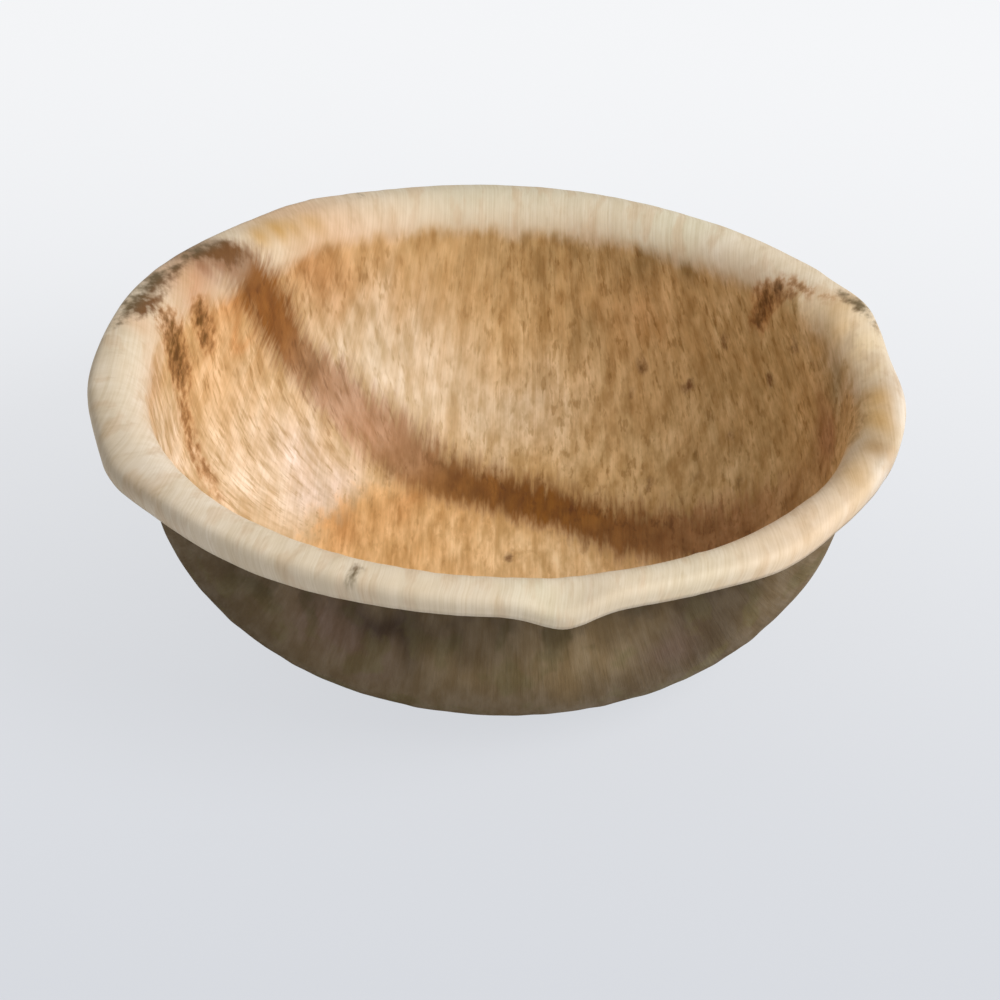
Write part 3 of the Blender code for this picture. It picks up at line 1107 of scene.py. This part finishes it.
def lay_pleats(tree, grain, colour):
    """The pleats: an amber halo that reaches far out, and a core near the middle, partly brown and partly
    painted shade.
    """
    pleat = mark(tree, "pleat")
    near = rise(tree, pleat, 0.05, 0.4)
    field = frayed(tree, pleat, grain["grit"], 0.6)
    halo = times(tree, near, rise(tree, field, -0.1, 0.7, top=0.7))
    core = times(tree, near, rise(tree, field, 0.2, 1.15, top=0.96))
    return mix_colour(tree, core, mix_colour(tree, halo, colour, PLEAT_AMBER), PLEAT_BROWN_AND_SHADE)


def lay_scorches(tree, grain, colour):
    """The scorched places, frayed by two grains, from brown to soot with the run."""
    scorch = mark(tree, "scorch")
    field = frayed(tree, frayed(tree, scorch, grain["cloud"], 0.35), grain["grit"], 0.5)
    share = times(tree, rise(tree, scorch, 0.05, 0.35), rise(tree, field, 0.05, 1.05, top=0.97))
    burnt = mix_colour(tree, rise(tree, grain["run"], *SOOTY_EDGE), SCORCH, SOOT)
    return mix_colour(tree, share, colour, burnt)


sooty_from, sooty_to = np.array(SOOTY_EDGE) / MM
print(f"scorches turn to soot from {sooty_from:.0f} to {sooty_to:.0f} mm of leaf from the centre")

# %% [markdown]
# ## Finish of the inner skin
# Over ground and marks come the grains. Each darkens and lightens the colour in its own range: the mottle
# most, the fine fibres least. The rim is nearly free of them, and the floor has fewer flecks. The skin is
# dry with a faint sheen, so the roughness follows the mottle, and a light bump follows mottle and fibres.

# %% Pale leaf material
WARM_STREAK = np.array([0.96, 0.91, 0.84])
# Grey of the painted edge shade
EDGE_SHADE = np.array([0.60, 0.58, 0.54])
CREASED_WALL = (30.0 * MM, 45.0 * MM)
RIM_GRAIN = 0.18
FLOOR_FLECKS = 0.45


def shade_grains(tree, grain, colour, floor_share, inside):
    """Shades the colour by each grain in turn, from its dark to its light, as far as its share says."""
    on_wall = times(tree, inside, rise(tree, grain["run"], *CREASED_WALL))
    calm = times(tree, inside, rise(tree, floor_share, 0.0, 1.0, 1.0, FLOOR_FLECKS))
    clouded = rise(tree, grain["cloud"], 0.2, 0.8, bottom=0.4)
    flecked = times(tree, rise(tree, grain["fleck"], 0.55, 1.0), clouded)
    shades = (
        (flecked, 1.03, 0.70, calm),
        (grain["spot"], 1.00, 0.70, calm),
        (grain["fray"], 0.92, 1.06, floor_share),
        (grain["crease"], 0.88, 1.09, on_wall),
        (grain["mottle"], 0.75, 1.22, inside),
        (grain["cloud"], 0.86, 1.12, inside),
        (grain["fibre"], 0.93, 1.05, 1.0),
    )
    for strength, dark, light, share in shades:
        colour = shade_by(tree, colour, strength, dark, light, share)
    return mix_colour(tree, times(tree, inside, grain["warm"]), colour, WARM_STREAK, blend="MULTIPLY")


def pale_leaf():
    """Material of the inner skin: ground, marks, grains and painted edge shade in turn, then roughness and
    bump.
    """
    material, tree, shader = new_material("pale_leaf")
    grain = pale_grains(tree)
    colour, floor_share, rim_share = lay_ground(tree, grain)
    for lay_mark in (lay_band, lay_pleats, lay_scorches):
        colour = lay_mark(tree, grain, colour)
    inside = rise(tree, rim_share, 0.0, 1.0, 1.0, RIM_GRAIN)
    colour = shade_grains(tree, grain, colour, floor_share, inside)
    # Painted shade: the edge shade darkens the hem and the left outer edge in grey
    colour = mix_colour(tree, mark(tree, "edge_shade"), colour, EDGE_SHADE, blend="MULTIPLY")
    feed(tree, colour, shader.inputs["Base Color"])
    feed(tree, rise(tree, grain["mottle"], 0.0, 1.0, 0.70, 0.56), shader.inputs["Roughness"])
    shader.inputs["Specular IOR Level"].default_value = 0.4
    height = reckon(tree, "ADD", times(tree, grain["mottle"], inside), times(tree, grain["fibre"], 0.3))
    add_bump(tree, shader, height, strength=0.2, distance=0.1 * MM)
    return material


inner_skin.data.materials.append(pale_leaf())
print("inner skin:", len(inner_skin.active_material.node_tree.nodes), "nodes")

# %% [markdown]
# ## Finish of the fibre core
# Pith and fibre are a plain dry tan with strong streaks and no gloss. One streak grain mixes the two
# colours and raises the bump, so that dark fibres lie between pale pith.

# %% Leaf fibre material
PITH = srgb(196, 160, 112)
FIBRE = srgb(150, 108, 66)
STRAND_GRAIN = (0.8, 30.0)


def leaf_fibre():
    """Material of the core: fibre and pith mixed by one streak grain, which also gives the bump."""
    material, tree, shader = new_material("leaf_fibre")
    strand = streaks(tree, mark(tree, "leaf", "Vector"), *STRAND_GRAIN)
    feed(tree, mix_colour(tree, strand, FIBRE, PITH), shader.inputs["Base Color"])
    shader.inputs["Roughness"].default_value = 0.9
    add_bump(tree, shader, strand, strength=0.6, distance=0.15 * MM)
    return material


fibre_core.data.materials.append(leaf_fibre())
print("fibre core:", len(fibre_core.active_material.node_tree.nodes), "nodes")

# %% [markdown]
# ## Finish of the outer skin
# Sun and rain have turned the outside a dark grey-brown with olive places and dusty streaks, and a painted
# shadow makes it darkest under the rim. The stored tints are the ground, and the same streak group adds olive
# clouds and three grains. The skin is rough and dull, so the bump is stronger than inside and the specular
# level lower.

# %% Weathered leaf material
BARK_OLIVE = srgb(112, 98, 60)
FINE_GRAIN = (1.0, 4.0)
FIBRE_GRAIN = (0.45, 18.0)
BROAD_GRAIN = (3.4, 12.0)
CLOUD_GRAIN = (8.0, 11.0)
# Runs where the painted shadow under the rim sets in, its fray and its share
UNDER_RIM = (63.0 * MM, 73.0 * MM)
UNDER_RIM_FRAY = 12.0 * MM
UNDER_RIM_SHARE = 0.45


def weathered_leaf():
    """Material of the outer skin: tints, olive clouds, a painted shadow under the rim and three grains over
    them.
    """
    material, tree, shader = new_material("weathered_leaf")
    leaf = mark(tree, "leaf", "Vector")
    run = add_node(tree, "ShaderNodeSeparateXYZ", {0: leaf}).outputs["Z"]
    fine = streaks(tree, leaf, *FINE_GRAIN)
    fibre = streaks(tree, leaf, *FIBRE_GRAIN)
    broad = streaks(tree, leaf, *BROAD_GRAIN)
    cloud = streaks(tree, leaf, *CLOUD_GRAIN)
    clouded = rise(tree, cloud, 0.55, 0.95, top=0.6)
    colour = mix_colour(tree, clouded, mark(tree, "outer_tint", "Color"), BARK_OLIVE)
    # Painted shadow under the rim, frayed by the cloud grain
    rim_shadow = rise(tree, frayed(tree, run, cloud, UNDER_RIM_FRAY), *UNDER_RIM, top=UNDER_RIM_SHARE)
    colour = mix_colour(tree, rim_shadow, colour, PAINTED_RIM_SHADOW)
    for grain, dark, light in ((broad, 0.82, 1.16), (fine, 0.93, 1.05), (fibre, 0.95, 1.03)):
        colour = shade_by(tree, colour, grain, dark, light)
    feed(tree, colour, shader.inputs["Base Color"])
    feed(tree, rise(tree, broad, 0.0, 1.0, 0.85, 0.65), shader.inputs["Roughness"])
    shader.inputs["Specular IOR Level"].default_value = 0.2
    height = reckon(tree, "ADD", fine, times(tree, fibre, 0.7))
    add_bump(tree, shader, height, strength=0.4, distance=0.12 * MM)
    return material


outer_skin.data.materials.append(weathered_leaf())
print("outer skin:", len(outer_skin.active_material.node_tree.nodes), "nodes")

# %% [markdown]
# ## The studio floor
# The bowl stands on a plain pale floor that grows lighter into the distance. A plane would hide the base
# when the bowl is looked at from below. So the floor is a ring, open under the base, and clear from
# underneath. To the camera it mostly glows in its own colour, which keeps it pale without more light on the
# bowl, and the rest of its shading keeps the bowl's shadow.

# %% Studio floor
FLOOR_RADIUS = 1.5
FLOOR_HOLE = 24.5 * MM
FLOOR_AROUND = 128
FLOOR_LEVEL = -0.05 * MM
FLOOR_NEAR = srgb(215, 218, 224)
FLOOR_FAR = srgb(247, 248, 250)
FLOOR_FADE = (-0.16, 0.22)
FLOOR_GLOW = 0.86


def pale_floor():
    """Material of the floor: two tints by the distance, a glow for the camera, and nothing from below."""
    material, tree, shader = new_material("studio_floor")
    place = add_node(tree, "ShaderNodeTexCoord").outputs["Object"]
    distance = add_node(tree, "ShaderNodeSeparateXYZ", {0: place}).outputs["Y"]
    pale = mix_colour(tree, rise(tree, distance, *FLOOR_FADE), FLOOR_NEAR, FLOOR_FAR)
    feed(tree, pale, shader.inputs["Base Color"])
    shader.inputs["Roughness"].default_value = 0.9
    glow = add_node(tree, "ShaderNodeEmission", {"Color": pale}).outputs[0]
    share = times(tree, add_node(tree, "ShaderNodeLightPath").outputs["Is Camera Ray"], FLOOR_GLOW)
    lit = add_node(tree, "ShaderNodeMixShader", {0: share, 1: shader.outputs[0], 2: glow}).outputs[0]
    clear = add_node(tree, "ShaderNodeBsdfTransparent").outputs[0]
    below = add_node(tree, "ShaderNodeNewGeometry").outputs["Backfacing"]
    sided = add_node(tree, "ShaderNodeMixShader", {0: below, 1: lit, 2: clear}).outputs[0]
    feed(tree, sided, tree.nodes["Material Output"].inputs["Surface"])
    return material


def floor_sheet():
    """A flat ring over angle and radius, from just inside the base's edge out to the end of the studio."""
    around = np.linspace(0.0, 2.0 * np.pi, FLOOR_AROUND, endpoint=False)
    circle = np.stack([np.cos(around), np.sin(around), np.zeros(FLOOR_AROUND)], axis=-1)
    points = np.concatenate([circle * FLOOR_HOLE, circle * FLOOR_RADIUS]) + (0.0, 0.0, FLOOR_LEVEL)
    here = np.arange(FLOOR_AROUND)
    after = (here + 1) % FLOOR_AROUND
    quads = np.stack([here, here + FLOOR_AROUND, after + FLOOR_AROUND, after], axis=-1)
    mesh = bpy.data.meshes.new("studio_floor")
    mesh.from_pydata(points.tolist(), [], quads.tolist())
    mesh.materials.append(pale_floor())
    sheet = bpy.data.objects.new("studio_floor", mesh)
    bpy.context.scene.collection.objects.link(sheet)
    return sheet


studio_floor = floor_sheet()
print("floor:", len(studio_floor.data.polygons), "faces")

# %% [markdown]
# ## Light
# A large soft lamp to the right of the bowl lights the left wall and leaves the right wall in shade. More
# lamps could fill that shade, but each would add a shadow, so an even pale world does it. Both are low
# enough that a colour renders about as it is written.

# %% Light
KEY_PLACE = Vector((0.84, -0.38, 0.76))
KEY_SIZE = 0.72
KEY_POWER = 10.6
FILL_LEVEL = 0.48


def soft_lamp(name, place, size, power):
    """A round lamp at a place, turned to face the origin."""
    lamp = bpy.data.lights.new(name, "AREA")
    lamp.shape = "DISK"
    lamp.size = size
    lamp.energy = power
    holder = bpy.data.objects.new(name, lamp)
    holder.location = place
    holder.rotation_euler = (-place).to_track_quat("-Z", "Y").to_euler()
    bpy.context.scene.collection.objects.link(holder)


def even_world(level):
    """A white world of even strength."""
    world = bpy.data.worlds.new("studio")
    world.use_nodes = True
    background = world.node_tree.nodes["Background"]
    background.inputs["Color"].default_value = (1.0, 1.0, 1.0, 1.0)
    background.inputs["Strength"].default_value = level
    bpy.context.scene.world = world


soft_lamp("key", KEY_PLACE, KEY_SIZE, KEY_POWER)
even_world(FILL_LEVEL)
print(f"key lamp {KEY_PLACE.length:.2f} m from the bowl, world at {FILL_LEVEL}")

# %% [markdown]
# ## Camera
# The photograph looks down about thirty degrees through a long lens, with the frame turned a little. A
# constraint could hold the camera on its target. Here the direction from its place to its aim gives its
# rotation once, and a small roll follows.

# %% Camera
CAMERA_PLACE = Vector((0.0, -0.5144, 0.3389))
CAMERA_AIM = Vector((0.0006, -0.0096, 0.0227))
CAMERA_ROLL = np.radians(2.1)
CAMERA_LENS = 140.7
CAMERA_SENSOR = 36.0
CAMERA_NEAREST = 0.01


def studio_camera():
    """A camera at its place, looking at its aim and rolled about that line."""
    camera = bpy.data.cameras.new("camera")
    camera.lens = CAMERA_LENS
    camera.sensor_width = CAMERA_SENSOR
    camera.clip_start = CAMERA_NEAREST
    holder = bpy.data.objects.new("camera", camera)
    holder.location = CAMERA_PLACE
    holder.rotation_euler = (CAMERA_AIM - CAMERA_PLACE).to_track_quat("-Z", "Y").to_euler()
    holder.rotation_euler.rotate_axis("Z", CAMERA_ROLL)
    bpy.context.scene.collection.objects.link(holder)
    bpy.context.scene.camera = holder


studio_camera()
bpy.context.scene.view_settings.view_transform = "Standard"
sight = CAMERA_AIM - CAMERA_PLACE
looking_down = np.degrees(np.arcsin(-sight.z / sight.length))
print(f"camera {sight.length:.2f} m away, looking down {looking_down:.0f} degrees")
